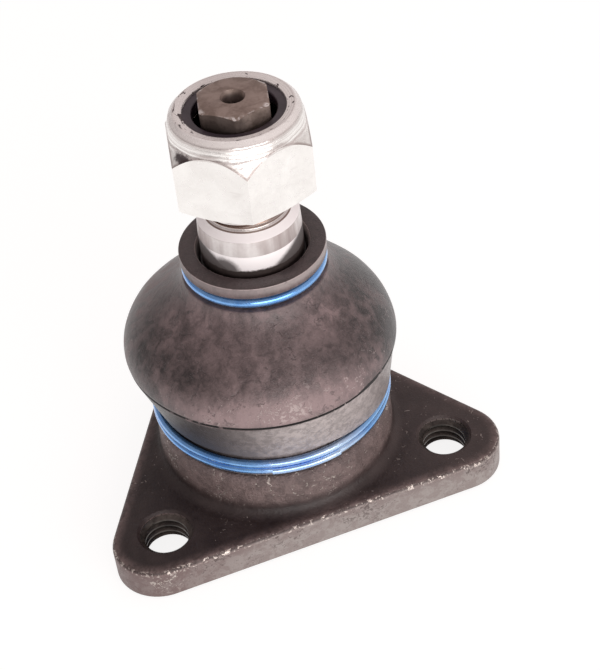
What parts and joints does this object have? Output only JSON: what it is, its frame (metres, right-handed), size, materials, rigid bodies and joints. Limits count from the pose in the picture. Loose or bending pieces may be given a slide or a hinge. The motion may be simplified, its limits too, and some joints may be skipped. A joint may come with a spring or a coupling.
{
  "type": "suspension ball joint",
  "caption": "Suspension ball joint: three-hole flanged housing, tapered threaded stud with lock nut, and a rubber boot held by two wire rings.",
  "frame": {"origin": "centre of the bolt circle, on the flange's underside", "axes": "+Z along the upright stud, away from the flange; one straight flange edge faces -Y"},
  "size_m": [0.0792, 0.071, 0.0859],
  "materials": {
    "housing_forging": "rough dark phosphate with worn bright edges",
    "cap_steel": "pressed, dull",
    "seat_plastic": "smooth",
    "spring_steel": "tempered, dark",
    "boot_rubber": "chalky, scuffed",
    "blue_wire": "glossy",
    "bush_plastic": "smooth",
    "stud_steel": "ground",
    "zinc_nut": "bright zinc",
    "locking_plastic": "semi-matt"
  },
  "bodies": {
    "housing": {"housing": "housing_forging", "closing_cap": "cap_steel", "lower_seat": "seat_plastic", "upper_seat": "seat_plastic", "disc_spring_1": "spring_steel", "disc_spring_2": "spring_steel"},
    "boot": {"dust_boot": "boot_rubber", "lower_clamp_ring": "blue_wire"},
    "collar": {"boot_bush": "bush_plastic", "upper_clamp_ring": "blue_wire"},
    "stud": {"ball_stud": "stud_steel", "lock_nut": "zinc_nut", "nut_insert": "locking_plastic"}
  },
  "joints": [
    {"name": "boot_turn", "type": "hinge", "parent": "housing", "child": "boot", "pos_m": [0, 0, 0.022], "axis": [0, 0, 1], "continuous": true},
    {"name": "stud_tilt", "type": "hinge", "parent": "boot", "child": "collar", "pos_m": [0, 0, 0.022], "axis": [1, 0, 0], "range_deg": [-25, 25], "deforming": ["dust_boot"]},
    {"name": "stud_spin", "type": "hinge", "parent": "collar", "child": "stud", "pos_m": [0, 0, 0.022], "axis": [0, 0, 1], "continuous": true}
  ]
}
